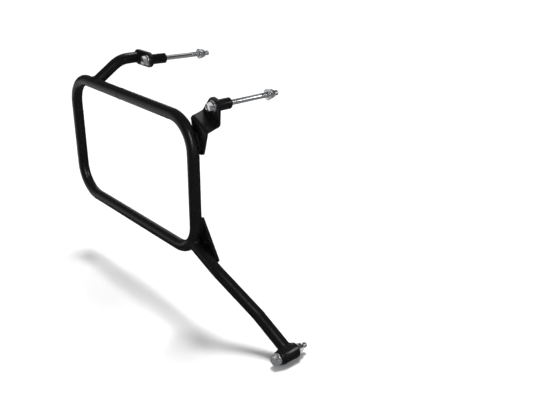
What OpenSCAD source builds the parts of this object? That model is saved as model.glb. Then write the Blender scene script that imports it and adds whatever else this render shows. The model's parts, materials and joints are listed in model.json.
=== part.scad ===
// Pannier frame for one side of a motorcycle.
// X points towards the motorcycle, Y to its rear and Z up.
// The origin is on the front upper bolt's axis, at the face that meets the motorcycle.

/* [Tube] */
// Outside diameter of every tube
tube_d = 18; // [14:1:22]
// Wall of every tube
tube_wall = 2; // [1.2:0.2:3]
// Centreline radius of every large bend
bend_r = 48; // [36:1:60]

/* [Loop] */
// Length of the loop over its tubes, front to rear
loop_l = 365; // [300:1:440]
// Height of the loop over its tubes
loop_h = 224; // [190:1:280]
// Distance of the loop's butt weld behind its front tube
butt_y = 190; // [80:1:250]
// Diameter of the drain holes that the welded tubes cover
drain_d = 5; // [3:0.5:8]

/* [Front bolt] */
// Distance of the front bolt behind the front of the loop
front_bolt_y = 3; // [0:1:12]
// Height of the front bolt over the top of the loop
front_bolt_z = 7.9; // [4:0.1:16]
// Distance from the loop's plane to the face that meets the motorcycle
front_reach = 61; // [54:1:80]

/* [Front bracket] */
// Thickness of the folded sheet
bracket_t = 4; // [3:0.5:5]
// Inside radius of its two folds
fold_r = 1.5; // [1:0.5:3]
// Slope of both folds, down towards the front
fold_slope = 23.7; // [15:0.1:32]
// Width of the sheet at its folds
bracket_w = 39; // [32:0.5:46]
// Distance from the bolt down to the step of the bracket
step_drop = 19.4; // [17:0.1:26]
// Distance of the first fold's middle ahead of the bolt, along the fold
fold_offset = 6; // [2:0.5:12]
// How far the step runs to the rear on its way to the ear
step_skew = 5; // [0:0.5:8]
// Radius of the ear round the bolt
ear_r = 13; // [11:0.5:15]
// Height of the bolt over the lower end of the bracket's foot
foot_drop = 66; // [60:1:80]
// Width of the bracket's foot at its lower end
foot_w = 15.5; // [12:0.5:22]
// Distance of the foot's middle in front of the upright tube's axis
foot_ahead = 3; // [0:0.5:6]
// Radius of the foot's lower corners
foot_r = 4; // [2:0.5:6]

/* [Rear arm] */
// Distance of the rear arm in front of the loop's rear
arm_y = 81; // [70:1:110]
// Slope of the rear arm where it leaves the top tube
arm_slope = 33.6; // [25:0.1:40]
// Height of the arm's upper run over the loop's top tube, axis to axis
arm_rise = 32.8; // [28:0.2:40]
// Distance from the loop's plane to the end of the arm
arm_reach = 83.6; // [78:0.2:100]

/* [Rear lug] */
// Thickness of the lug
lug_t = 5; // [4:0.5:8]
// Width of the lug, twice the radius of its ends
lug_w = 25; // [20:0.5:30]
// Distance from the arm's axis to the bolt
lug_span = 41; // [36:0.5:50]
// Turn of the lug and its bolt towards the front
lug_turn = 8; // [0:0.5:14]
// Rise of the lug towards its bolt
lug_tilt = 3; // [0:0.5:8]

/* [Strut] */
// Angle below the level at which the strut leaves the loop's corner
strut_from = 39; // [34:1:44]
// Length of the strut's first run
strut_l1 = 66; // [60:1:80]
// Slope of the strut's first run
strut_slope1 = 22.1; // [18:0.1:28]
// Run of the strut's second length, to the front
strut_y2 = 71; // [60:1:90]
// Drop of the strut's second length
strut_z2 = 45.5; // [38:0.5:56]
// Inward run of the strut's second length
strut_x2 = 17; // [8:0.5:24]
// Run of the strut's third length, to the front
strut_y3 = 58.5; // [50:0.5:80]
// Drop of the strut's third length
strut_z3 = 36.5; // [30:0.5:50]
// Inward run of the strut's third length
strut_x3 = 7; // [0:0.5:14]

/* [Lower sleeve] */
// Outside diameter of the sleeve at the strut's foot
sleeve_d = 22; // [20:0.5:26]
// Length of the sleeve with its shoulder
sleeve_l = 32.5; // [28:0.5:40]
// Distance of the strut's foot from the sleeve's inboard end
sleeve_in_l = 12.5; // [11:0.5:18]
// Diameter of the turned shoulder at the sleeve's outboard end
shoulder_d = 20; // [18:0.5:22]
// Length of that shoulder
shoulder_l = 5; // [2:0.5:6]
// Chamfer of the sleeve's two ends
sleeve_chamfer = 1; // [0.5:0.1:1.5]

/* [Gusset] */
// Thickness of the gusset
gusset_t = 4; // [3:0.5:5]
// Height of the gusset's top corner over the strut's root
gusset_up = 40.5; // [36:0.5:50]
// Length of the gusset along the strut
gusset_out = 52; // [46:0.5:56]
// Distance of the hole in front of the strut's root
gusset_hole_y = 20.8; // [19:0.2:24]
// Height of the hole over the strut's root
gusset_hole_z = 4.3; // [4:0.1:6]
// Diameter of its hole
gusset_hole_d = 5; // [4:0.5:6]
// Width of its two blunt corners
gusset_blunt = 3.5; // [2:0.5:5]

/* [Fasteners] */
// Thread diameter of the three bolts
bolt_d = 8; // [6:1:9]
// Clearance of the bolts in their holes, on the diameter
bolt_play = 0.4; // [0.2:0.1:0.8]
// Length of the front bolt under the head
front_bolt_l = 120; // [95:1:140]
// Length of the rear bolt under the head
rear_bolt_l = 115; // [95:1:140]
// Length of the lower bolt under the head
lower_bolt_l = 53; // [48:1:65]
// Length of bolt that stands out of each upper lock nut
bolt_tail = 8; // [2:0.5:12]
// Chamfer at the bolts' ends
end_chamfer = 0.8; // [0.4:0.1:1.2]
// Width across flats of the bolts' heads
head_af = 12; // [10:0.5:13]
// Height of the heads with their flanges
head_h = 8; // [6:0.5:9]
// Diameter of the heads' flanges
head_flange_d = 15.5; // [15:0.5:17]
// Height of the heads' flanges
head_flange_h = 2.7; // [2:0.1:3.5]
// Thickness of these flanges at their rim
head_rim = 1; // [0.6:0.1:1.4]
// Width across flats of the nuts
nut_af = 13; // [11:0.5:14]
// Height of the lock nuts, with their collar
nut_h = 9.5; // [8:0.5:12]
// Height of the collar that holds the nylon ring
collar_h = 2.8; // [2:0.1:3.5]
// Wall of that collar
collar_wall = 1; // [0.8:0.1:1.4]
// Wall of the nylon ring
ring_wall = 1.2; // [0.8:0.1:1.5]
// Height of the nylon ring
ring_h = 2; // [1.2:0.1:2.4]
// Outside diameter of the washers
washer_d = 17; // [16:0.5:20]
// Thickness of the washers
washer_t = 1.6; // [1:0.1:2.5]
// Outside diameter of the spacers
spacer_d = 16.5; // [14:0.5:18]
// Diameter of the spacers' flanges
flange_d = 22; // [19:0.5:24]
// Thickness of the spacers' flanges
flange_t = 2; // [1.5:0.5:5]
// Length of the front spacer
front_spacer_l = 25; // [18:1:32]
// Length of the rear spacer
rear_spacer_l = 27; // [22:1:40]

/* [Welds] */
// Reach of a weld bead over each piece that it joins
weld = 3; // [2:0.2:4]
// Height of the ground weld round the loop's butt joint
butt_h = 0.4; // [0.2:0.1:0.8]
// Gap left between two tubes before they are welded
root_gap = 0.05; // [0.02:0.01:0.1]
// Clearance of the nuts on their bolts, on the diameter
thread_play = 0.2; // [0.1:0.1:0.4]

/* [Hidden] */
$fn = 96;

black = "#1b1b1c";
weld_black = "#242425";
zinc = "#b9bcbf";

tube_r = tube_d / 2;
bore_r = tube_r - tube_wall;
hole_d = bolt_d + bolt_play;
over = 1;
bend_swell = 0.01;
bend_lap = 0.3;
ear_inset = 0.02;
corner_step = 15;

// The loop's centreline, in its own plane
loop_x = -front_reach;
front_y = -front_bolt_y + tube_r;
top_z = -front_bolt_z - tube_r;
rear_y = front_y + loop_l - tube_d;
low_z = top_z - loop_h + tube_d;
face_x = loop_x + tube_r;

// The rear arm and the lug at its end
arm_at = rear_y + tube_r - arm_y;
arm_z = top_z + arm_rise;
arm_root = [loop_x, arm_at, top_z];
arm_bend = [loop_x + arm_rise / tan(arm_slope), arm_at, arm_z];
arm_end = [loop_x + arm_reach, arm_at, arm_z];
lug_r = lug_w / 2;

// The strut's points, from the loop's lower front corner to the sleeve
corner = [loop_x, front_y + bend_r, low_z + bend_r];
strut_root = corner + bend_r * [0, -cos(strut_from), -sin(strut_from)];
strut_1 = strut_root + strut_l1 * [0, -cos(strut_slope1), -sin(strut_slope1)];
strut_2 = strut_1 + [strut_x2, -strut_y2, -strut_z2];
strut_foot = strut_2 + [strut_x3, -strut_y3, -strut_z3];
sleeve_r = sleeve_d / 2;
sleeve_out = strut_foot.x + sleeve_in_l - sleeve_l;
body_l = sleeve_l - shoulder_l;

// The folded bracket, in a frame at the bolt with its folds along Y
fold_out = fold_r + bracket_t;
ear_in = -front_spacer_l;
ear_out = ear_in - bracket_t;
step_rear = -fold_offset + bracket_w / 2;
step_front = -fold_offset - bracket_w / 2;

// Fasteners
bolt_r = bolt_d / 2;
front_nut_at = front_bolt_l - bolt_tail - nut_h;
rear_nut_at = rear_bolt_l - bolt_tail - nut_h;
lower_nut_at = sleeve_l + 2 * washer_t;

// Beads: their reach over a tube that carries another piece, and how far they stop short of a plate's end
carrier_weld = 0.8 * weld;
carrier_r = tube_r + carrier_weld;
bead_short = 2;
// Distance that the strut's bead keeps from the gusset
bead_gap = 0.2;
// Where the beads on the bends begin, counted from the bend's foot over its rear, and how far they run
outer_bead = [234, 34];
inner_bead = [246, 22];
corner_bead = [270, 20];

// Offset of the gusset's hidden corner from the strut's root, to the front and up
gusset_root = [-3, -6];

function unit(v) = v / norm(v);

// A straight rod between two points
module rod(a, b, r) {
    d = b - a;
    translate(a)
        rotate([0, acos(d.z / norm(d)), atan2(d.y, d.x)])
            cylinder(h = norm(d), r = r);
}

// The bend that turns the run a-p into the run p-b
module bend(a, p, b, r) {
    u = unit(p - a);
    v = unit(b - p);
    turn = acos(u * v);
    centre = p + unit(v - u) * bend_r / cos(turn / 2);
    e1 = unit(p - u * bend_r * tan(turn / 2) - centre);
    e3 = cross(e1, u);
    multmatrix([[e1.x, u.x, e3.x, centre.x], [e1.y, u.y, e3.y, centre.y], [e1.z, u.z, e3.z, centre.z],
        [0, 0, 0, 1]])
        rotate_extrude(angle = turn)
            translate([bend_r, 0])
                circle(r + bend_swell);
}

function setback(a, p, b) = bend_r * tan(acos(unit(p - a) * unit(b - p)) / 2);

// A bent round bar through a list of points, whose runs reach a little way into its bends
module bar(p, r) {
    n = len(p) - 1;
    for (i = [0 : n - 1]) {
        d = unit(p[i + 1] - p[i]);
        from = i == 0 ? 0 : setback(p[i - 1], p[i], p[i + 1]) - bend_lap;
        to = i == n - 1 ? 0 : setback(p[i], p[i + 1], p[i + 2]) - bend_lap;
        rod(p[i] + d * from, p[i + 1] - d * to, r);
        if (i < n - 1)
            bend(p[i], p[i + 1], p[i + 2], r);
    }
}

// Places its children on a lateral axis, with their Z along the bolt
module along_x(at) {
    translate(at)
        rotate([0, 90, 0])
            children();
}

loop_start = [loop_x, front_y + butt_y, top_z];
loop_points = [loop_start, [loop_x, front_y, top_z], [loop_x, front_y, low_z], [loop_x, rear_y, low_z],
    [loop_x, rear_y, top_z], loop_start];
arm_points = [arm_root, arm_bend, arm_end + [tube_r, 0, 0]];
strut_points = [strut_root, strut_1, strut_2, strut_foot];

module loop_bar(r) {
    bar(loop_points, r);
}

module main_loop() {
    color(black)
        difference() {
            loop_bar(tube_r);
            loop_bar(bore_r);
            rod(arm_root, arm_root + unit(arm_bend - arm_root) * (tube_r + over), drain_d / 2);
            rod(strut_root, strut_root + unit(strut_1 - strut_root) * (tube_r + over), drain_d / 2);
        }
}

// The ground weld that closes the loop
module loop_butt_weld() {
    color(weld_black)
        translate(loop_start)
            rotate([90, 0, 0])
                difference() {
                    cylinder(h = weld, r = tube_r + butt_h, center = true);
                    cylinder(h = weld + 2 * over, r = tube_r, center = true);
                }
}

// The frame of the lug: its outboard face at the arm's end, its X along the bolt
module lug_frame() {
    translate(arm_end)
        rotate([0, 0, -lug_turn])
            rotate([-lug_tilt, 0, 0])
                children();
}

module rear_arm() {
    color(black)
        difference() {
            bar(arm_points, tube_r);
            bar(arm_points, bore_r);
            rod([loop_x, arm_at - tube_d, top_z], [loop_x, arm_at + tube_d, top_z], tube_r + root_gap);
            lug_frame()
                translate([0, -tube_d, -tube_d])
                    cube(2 * tube_d);
        }
}

// The bead at the arm's foot, on both tubes
module arm_weld() {
    d = unit(arm_bend - arm_root);
    color(weld_black)
        difference() {
            intersection() {
                rod(arm_root, arm_root + d * tube_d, tube_r + weld);
                rod([loop_x, arm_at - tube_d, top_z], [loop_x, arm_at + tube_d, top_z], carrier_r);
            }
            rod(arm_root - d * tube_d, arm_root + d * 2 * tube_d, tube_r + root_gap);
            rod([loop_x, arm_at - 2 * tube_d, top_z], [loop_x, arm_at + 2 * tube_d, top_z], tube_r);
        }
}

// A flat bar with round ends, drilled for the bolt and for draining the arm
module rear_lug() {
    color(black)
        lug_frame()
            difference() {
                union() {
                    along_x([0, 0, 0])
                        cylinder(h = lug_t, r = lug_r);
                    along_x([0, -lug_span, 0])
                        cylinder(h = lug_t, r = lug_r);
                    translate([0, -lug_span, -lug_r])
                        cube([lug_t, lug_span, lug_w]);
                }
                along_x([-over, -lug_span, 0])
                    cylinder(h = lug_t + 2 * over, d = hole_d);
            }
}

// The bead round the arm's end on the lug
module lug_weld() {
    color(weld_black)
        difference() {
            along_x(arm_end - [weld, 0, 0])
                cylinder(h = 2 * weld, r1 = tube_r, r2 = tube_r + 2 * weld);
            rod(arm_end - [tube_d, 0, 0], arm_end + [tube_d, 0, 0], tube_r + root_gap);
            lug_frame()
                translate([0, -2 * tube_d, -2 * tube_d])
                    cube(4 * tube_d);
        }
}

// The section of the folded sheet: foot, fold, step, fold, ear
module sheet_section() {
    low = -foot_drop - bracket_w;
    translate([face_x, low])
        square([bracket_t, -step_drop - fold_out - low]);
    translate([face_x + fold_out, -step_drop - bracket_t])
        square([ear_out - fold_r - face_x - fold_out, bracket_t]);
    translate([ear_out, -step_drop + fold_r])
        square([bracket_t, step_drop + 2 * ear_r]);
    translate([face_x + fold_out, -step_drop - fold_out])
        rotate(90)
            fold_section();
    translate([ear_out - fold_r, -step_drop + fold_r])
        rotate(-90)
            fold_section();
}

// A quarter of a ring, the section of one fold
module fold_section() {
    difference() {
        intersection() {
            circle(fold_out);
            square(fold_out);
        }
        circle(fold_r);
    }
}

// The point where the line from p meets the ear's round end, a hair inside its rim
function touch(p, side) =
    let (r = ear_r - ear_inset, a = atan2(p.y, p.x) + side * acos(r / norm(p)))
    r * [cos(a), sin(a)];

// A point of the upright foot, given in the frame of the folds
function tipped(y, z) =
    [y * cos(fold_slope) + z * sin(fold_slope), z * cos(fold_slope) - y * sin(fold_slope)];

// A round corner of the upright foot, between two angles
function foot_corner(y, from) =
    [for (a = [from : corner_step : from + 90])
        tipped(y + foot_r * cos(a), -foot_drop + foot_r + foot_r * sin(a))];

module foot_outline() {
    fold_end = -step_drop - fold_out;
    middle = front_y - foot_ahead;
    rear = middle + foot_w / 2;
    front = middle - foot_w / 2;
    polygon(concat(
        [[step_rear, fold_end], [step_rear, -step_drop], [step_front, -step_drop], [step_front, fold_end]],
        foot_corner(front + foot_r, 180),
        foot_corner(rear - foot_r, 270)
    ));
}

module ear_outline() {
    a = [step_front + step_skew, -step_drop + fold_r];
    b = [step_rear + step_skew, -step_drop + fold_r];
    low = [0, -fold_out];
    circle(ear_r);
    polygon([a + low, b + low, b, touch(b, 1), [0, 0], touch(a, -1), a]);
}

module step_outline() {
    polygon([[face_x + fold_out, step_front], [ear_out - fold_r, step_front + step_skew],
        [ear_out - fold_r, step_rear + step_skew], [face_x + fold_out, step_rear]]);
}

// Stands an outline drawn in Y and Z upright, from x to the motorcycle's side
module outline_x(x, h) {
    translate([x, 0, 0])
        rotate([90, 0, 90])
            linear_extrude(h)
                children();
}

module folded_sheet() {
    rotate([90, 0, 0])
        translate([0, 0, -2 * bracket_w])
            linear_extrude(4 * bracket_w)
                sheet_section();
}

module front_bracket() {
    color(black)
        rotate([fold_slope, 0, 0])
            difference() {
                intersection() {
                    folded_sheet();
                    union() {
                        outline_x(face_x - over, fold_out + over)
                            foot_outline();
                        translate([0, 0, -step_drop - 2 * bracket_t])
                            linear_extrude(4 * bracket_t)
                                step_outline();
                        outline_x(ear_out - fold_r, fold_out + over)
                            ear_outline();
                    }
                }
                along_x([ear_out - over, 0, 0])
                    cylinder(h = bracket_t + 2 * over, d = hole_d);
            }
}

// The section of a bead in the crevice between a flat piece and a tube's crest,
// with the tube's axis at the origin and the flat piece at x = tube_r
module crevice(side) {
    difference() {
        translate([tube_r - weld, side > 0 ? weld : -2 * weld])
            square(weld);
        circle(tube_r);
    }
}

// A bead that follows a bend of the loop
module bend_bead(centre, bead, side) {
    along_x(centre)
        rotate(bead[0])
            rotate_extrude(angle = bead[1])
                translate([bend_r, 0])
                    mirror([1, -1])
                        crevice(side);
}

// Two beads that follow the loop's upper front bend under the bracket's foot
module bracket_welds() {
    centre = [loop_x, front_y + bend_r, top_z - bend_r];
    color(weld_black) {
        bend_bead(centre, outer_bead, 1);
        bend_bead(centre, inner_bead, -1);
    }
}

module gusset_outline() {
    d = [-cos(strut_slope1), -sin(strut_slope1)];
    n = [-sin(strut_slope1), cos(strut_slope1)];
    root = [strut_root.y, strut_root.z];
    tip = root + gusset_out * d + n;
    polygon([root + gusset_root, tip, tip + gusset_blunt * n, [front_y - gusset_blunt, root.y + gusset_up],
        [front_y, root.y + gusset_up]]);
}

// A flat plate across the joint of loop and strut, on their inboard side
module gusset() {
    color(black)
        difference() {
            outline_x(face_x, gusset_t)
                gusset_outline();
            along_x([face_x - over, strut_root.y - gusset_hole_y, strut_root.z + gusset_hole_z])
                cylinder(h = gusset_t + 2 * over, d = gusset_hole_d);
        }
}

// Beads under the gusset, along the upright tube and along the strut
module gusset_welds() {
    straight = strut_root.z + gusset_up - bead_short - corner.z;
    color(weld_black) {
        bend_bead(corner, corner_bead, 1);
        translate(corner - [0, bend_r, 0])
            linear_extrude(straight)
                crevice(-1);
        translate(strut_root)
            rotate([90 + strut_slope1, 0, 0])
                translate([0, 0, gusset_out / 2 - weld])
                    linear_extrude(gusset_out / 2)
                        crevice(1);
    }
}

// The loop's lower front bend, which carries the strut
module corner_bend(r) {
    bend([loop_x, front_y, top_z], [loop_x, front_y, low_z], [loop_x, rear_y, low_z], r);
}

// The sleeve's thick length, without its shoulder
module sleeve_bar(r) {
    along_x([sleeve_out + shoulder_l, strut_foot.y, strut_foot.z])
        cylinder(h = body_l, r = r);
}

module lower_strut() {
    color(black)
        difference() {
            bar(strut_points, tube_r);
            bar(strut_points, bore_r);
            corner_bend(tube_r + root_gap);
            sleeve_bar(sleeve_r + root_gap);
        }
}

// The bead at the strut's root, on both tubes and short of the gusset
module strut_weld() {
    d = unit(strut_1 - strut_root);
    color(weld_black)
        difference() {
            intersection() {
                rod(strut_root, strut_root + d * 1.5 * tube_d, tube_r + weld);
                corner_bend(carrier_r);
            }
            rod(strut_root - d * tube_d, strut_root + d * 2 * tube_d, tube_r + root_gap);
            corner_bend(tube_r);
            translate([face_x - bead_gap, strut_root.y - 3 * tube_d, strut_root.z - 3 * tube_d])
                cube(6 * tube_d);
        }
}

// A turned boss with a shoulder, bored for the lower bolt
module lower_sleeve() {
    shoulder_r = shoulder_d / 2;
    color(black)
        along_x([sleeve_out, strut_foot.y, strut_foot.z])
            rotate_extrude()
                polygon([[hole_d / 2, 0], [shoulder_r - sleeve_chamfer, 0], [shoulder_r, sleeve_chamfer],
                    [shoulder_r, shoulder_l], [sleeve_r, shoulder_l], [sleeve_r, sleeve_l - sleeve_chamfer],
                    [sleeve_r - sleeve_chamfer, sleeve_l], [hole_d / 2, sleeve_l]]);
}

// The bead round the strut's foot on the boss
module sleeve_weld() {
    d = unit(strut_foot - strut_2);
    color(weld_black)
        difference() {
            intersection() {
                rod(strut_foot - d * 1.5 * tube_d, strut_foot, tube_r + weld);
                sleeve_bar(sleeve_r + carrier_weld);
            }
            rod(strut_foot - d * 2 * tube_d, strut_foot + d * tube_d, tube_r + root_gap);
            sleeve_bar(sleeve_r);
        }
}

// The frame of each bolt: the origin under its head, Z along the shank
module at_front_bolt() {
    along_x([ear_out - washer_t, 0, 0])
        children();
}

module at_rear_bolt() {
    lug_frame()
        along_x([-washer_t, -lug_span, 0])
            children();
}

module at_lower_bolt() {
    along_x([sleeve_out - washer_t, strut_foot.y, strut_foot.z])
        children();
}

// A turned spacer with a flange at its foot and a chamfered far rim
module spacer(l) {
    color(black)
        difference() {
            rotate_extrude()
                polygon([[0, 0], [flange_d / 2, 0], [flange_d / 2, flange_t], [spacer_d / 2, flange_t],
                    [spacer_d / 2, l - end_chamfer], [spacer_d / 2 - end_chamfer, l], [0, l]]);
            translate([0, 0, -over])
                cylinder(h = l + 2 * over, d = hole_d);
        }
}

module shank(l) {
    rotate_extrude()
        polygon([[0, 0], [bolt_r, 0], [bolt_r, l - end_chamfer], [bolt_r - end_chamfer, l], [0, l]]);
}

// A hexagon block whose corners are turned off at the bottom, and at the top too if both is set
module hex_block(h, af, both) {
    flat = af / 2;
    hex_r = flat / cos(30);
    slope = (hex_r - flat) * tan(30);
    intersection() {
        cylinder(h = h, r = hex_r, $fn = 6);
        rotate_extrude()
            polygon([[0, 0], [flat, 0], [hex_r, slope], [hex_r, both ? h - slope : h],
                [both ? flat : hex_r, h], [0, h]]);
    }
}

// A bolt with a hexagon head on a sloping flange
module hex_bolt(l) {
    flange_r = head_flange_d / 2;
    neck_r = head_af / 2 - head_rim / 2;
    color(zinc) {
        shank(l);
        translate([0, 0, -head_h])
            hex_block(head_h - head_rim, head_af, false);
        rotate_extrude()
            polygon([[0, -head_flange_h], [neck_r, -head_flange_h], [flange_r, -head_rim], [flange_r, 0],
                [0, 0]]);
    }
}

module washer() {
    color(zinc)
        difference() {
            cylinder(h = washer_t, d = washer_d);
            translate([0, 0, -over])
                cylinder(h = washer_t + 2 * over, d = hole_d);
        }
}

// A lock nut: a hexagon and a round collar with a pocket for its nylon ring
module lock_nut() {
    pocket_r = bolt_r + thread_play / 2 + ring_wall;
    collar_r = pocket_r + collar_wall;
    hex_h = nut_h - collar_h;
    color(zinc)
        difference() {
            union() {
                hex_block(hex_h, nut_af, true);
                rotate_extrude()
                    polygon([[0, 0], [collar_r, 0], [collar_r, nut_h - end_chamfer],
                        [collar_r - end_chamfer, nut_h], [0, nut_h]]);
            }
            translate([0, 0, -over])
                cylinder(h = nut_h + 2 * over, d = bolt_d + thread_play);
            translate([0, 0, nut_h - ring_h])
                cylinder(h = ring_h + over, r = pocket_r);
        }
}

module nylon_ring() {
    color("#dfe3e6")
        translate([0, 0, nut_h - ring_h])
            difference() {
                cylinder(h = ring_h, r = bolt_r + thread_play / 2 + ring_wall);
                translate([0, 0, -over])
                    cylinder(h = ring_h + 2 * over, d = bolt_d + thread_play);
            }
}

module front_spacer() {
    along_x([ear_in, 0, 0])
        spacer(front_spacer_l);
}

module rear_spacer() {
    lug_frame()
        along_x([lug_t, -lug_span, 0])
            spacer(rear_spacer_l);
}

module front_bolt() {
    at_front_bolt()
        hex_bolt(front_bolt_l);
}

module rear_bolt() {
    at_rear_bolt()
        hex_bolt(rear_bolt_l);
}

module lower_bolt() {
    at_lower_bolt()
        hex_bolt(lower_bolt_l);
}

module front_head_washer() {
    at_front_bolt()
        washer();
}

module rear_head_washer() {
    at_rear_bolt()
        washer();
}

module lower_head_washer() {
    at_lower_bolt()
        washer();
}

module front_nut_washer() {
    at_front_bolt()
        translate([0, 0, front_nut_at - washer_t])
            washer();
}

module rear_nut_washer() {
    at_rear_bolt()
        translate([0, 0, rear_nut_at - washer_t])
            washer();
}

module lower_nut_washer() {
    at_lower_bolt()
        translate([0, 0, lower_nut_at - washer_t])
            washer();
}

module front_lock_nut() {
    at_front_bolt()
        translate([0, 0, front_nut_at])
            lock_nut();
}

module rear_lock_nut() {
    at_rear_bolt()
        translate([0, 0, rear_nut_at])
            lock_nut();
}

module lower_lock_nut() {
    at_lower_bolt()
        translate([0, 0, lower_nut_at])
            lock_nut();
}

module nylon_rings() {
    at_front_bolt()
        translate([0, 0, front_nut_at])
            nylon_ring();
    at_rear_bolt()
        translate([0, 0, rear_nut_at])
            nylon_ring();
    at_lower_bolt()
        translate([0, 0, lower_nut_at])
            nylon_ring();
}

main_loop();
loop_butt_weld();
rear_arm();
arm_weld();
rear_lug();
lug_weld();
front_bracket();
bracket_welds();
gusset();
gusset_welds();
lower_strut();
strut_weld();
lower_sleeve();
sleeve_weld();
front_spacer();
rear_spacer();
front_bolt();
rear_bolt();
lower_bolt();
front_head_washer();
rear_head_washer();
lower_head_washer();
front_nut_washer();
rear_nut_washer();
lower_nut_washer();
front_lock_nut();
rear_lock_nut();
lower_lock_nut();
nylon_rings();
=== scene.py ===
"""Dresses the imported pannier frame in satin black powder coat, rippled weld beads and bright zinc
fasteners with real threads, and sets it on a white studio floor."""

import json
import math

import bpy
from bpy.props import FloatProperty, FloatVectorProperty, IntProperty, PointerProperty
from mathutils import Matrix, Vector

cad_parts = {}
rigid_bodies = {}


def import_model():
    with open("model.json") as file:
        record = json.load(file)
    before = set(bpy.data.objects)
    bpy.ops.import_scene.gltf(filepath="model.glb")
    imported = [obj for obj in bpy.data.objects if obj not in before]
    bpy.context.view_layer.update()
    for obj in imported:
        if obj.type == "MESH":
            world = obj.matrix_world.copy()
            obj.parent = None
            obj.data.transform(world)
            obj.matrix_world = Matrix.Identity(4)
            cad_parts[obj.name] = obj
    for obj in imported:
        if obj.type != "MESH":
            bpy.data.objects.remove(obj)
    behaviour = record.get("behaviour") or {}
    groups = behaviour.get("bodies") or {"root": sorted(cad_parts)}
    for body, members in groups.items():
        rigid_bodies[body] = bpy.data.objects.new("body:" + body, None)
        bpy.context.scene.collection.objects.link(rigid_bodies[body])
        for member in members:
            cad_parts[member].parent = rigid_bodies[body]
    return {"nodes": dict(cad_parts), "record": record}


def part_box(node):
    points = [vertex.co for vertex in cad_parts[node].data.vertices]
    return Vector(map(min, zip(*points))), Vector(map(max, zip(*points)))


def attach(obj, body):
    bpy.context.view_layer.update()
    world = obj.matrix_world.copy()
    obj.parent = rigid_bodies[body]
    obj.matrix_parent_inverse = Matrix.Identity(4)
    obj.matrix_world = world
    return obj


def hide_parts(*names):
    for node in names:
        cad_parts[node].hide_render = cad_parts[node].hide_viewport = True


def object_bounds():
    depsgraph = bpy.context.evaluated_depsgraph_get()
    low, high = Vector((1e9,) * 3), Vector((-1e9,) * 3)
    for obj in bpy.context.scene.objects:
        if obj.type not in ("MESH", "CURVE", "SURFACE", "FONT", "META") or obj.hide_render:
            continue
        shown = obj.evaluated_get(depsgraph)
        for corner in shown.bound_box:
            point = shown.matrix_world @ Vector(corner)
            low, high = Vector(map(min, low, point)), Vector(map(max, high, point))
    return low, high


bl_info = {
    "name": "Pannier Frame",
    "version": (1, 0, 0),
    "blender": (4, 5, 0),
    "location": "View3D > Sidebar > Pannier Frame",
    "description": "Finishes a motorcycle's tubular pannier frame and its fasteners",
    "category": "Object",
}

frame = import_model()
cad_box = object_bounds()

MM = 0.001
BODY = "root"
FLOOR_Z = cad_box[0][2]
UP = Vector((0, 0, 1))
REARWARD = Vector((0, 1, 0))
INBOARD = Vector((1, 0, 0))
FULL_TURN = (0.0, 2 * math.pi)

# Distances under which two points of a mesh are one
MERGE = 1e-6
FINE_MERGE = 1e-7

# Angles in degrees: an edge is rounded, or shaded as an edge, where its faces turn by more
NEARLY_FLAT = 0.6               # an edge that turns by less is dissolved
ROUNDED_FROM = 28
FASTENER_ROUNDED_FROM = 25
SHADED_FROM = 32
THREAD_SHADED_FROM = 50
BEAD_SHADED_FROM = 60

# Weld beads
BEAD_FACES_ROUND = 14           # faces round a bead's section
BEAD_FACES_PER_RIPPLE = 8       # faces along a bead from ripple to ripple
BEAD_FACE = 0.7                 # share of a bead's outline that is its rippled face
CROWN_FULLNESS = 0.6            # power of the crown's curve: below 1 it is flat on top
ROOT_DEPTH = 0.6 * MM           # how far a bead reaches in under the seam
RIPPLE_BOW = 0.55               # how far a ripple's middle runs ahead of its ends, in ripples
OVERTONE = 0.25                 # share of the second wave, which makes the ripples lean
OVERTONE_LAG = 0.9              # in radians
CREVICE_REACH = 2.1             # reach of a bead in a crevice, in legs
SEAM_TAPER = 24                 # the higher, the blunter are a bead's ends
CREVICE_TAPER = 16
OUTSIDE, INSIDE = 1, -1         # sides of a tube, seen from its bend's centre

# Threads
RUN_OUT = 1.2                   # length over which a thread begins, in pitches
FLANK_SLOPE = 1.25              # fall of a flank over half a pitch, in depths
CREST_FLAT = 0.12               # what the crest's flat takes of that fall
ROWS_PER_PITCH = 9              # rows of faces along a thread
POINT_CHAMFER = 0.8 * MM
CHAMFER_PLAIN = 0.3             # share of the chamfer that the thread leaves plain
THREAD_LAP = 0.6 * MM           # how far the threaded end reaches back into the plain shank
THREADED_SKIN = 0.3 * MM        # only points this near the outside are cut by the thread

SENSOR_W = 36                   # mm
FAR_CLIP = 200                  # m
AIR_STRENGTH = 0.05             # light from all round


def metres(name, description, default, low=0.0, high=1.0):
    """A length that the sidebar can change."""
    return FloatProperty(name=name, description=description, default=default, min=low, max=high,
                         subtype="DISTANCE", unit="LENGTH", precision=5)


def degrees(name, description, default):
    """An angle that the sidebar can change."""
    return FloatProperty(name=name, description=description, default=math.radians(default),
                         subtype="ANGLE", unit="ROTATION")


def place_or_run(name, description, default):
    """A point, or the way from one point to the next, that the sidebar can change."""
    return FloatVectorProperty(name=name, description=description, default=default, size=3,
                               subtype="TRANSLATION", unit="LENGTH")


def tint(name, description, default):
    """A colour that the sidebar can change."""
    return FloatVectorProperty(name=name, description=description, default=default, size=3,
                               min=0, max=1, subtype="COLOR")


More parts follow.
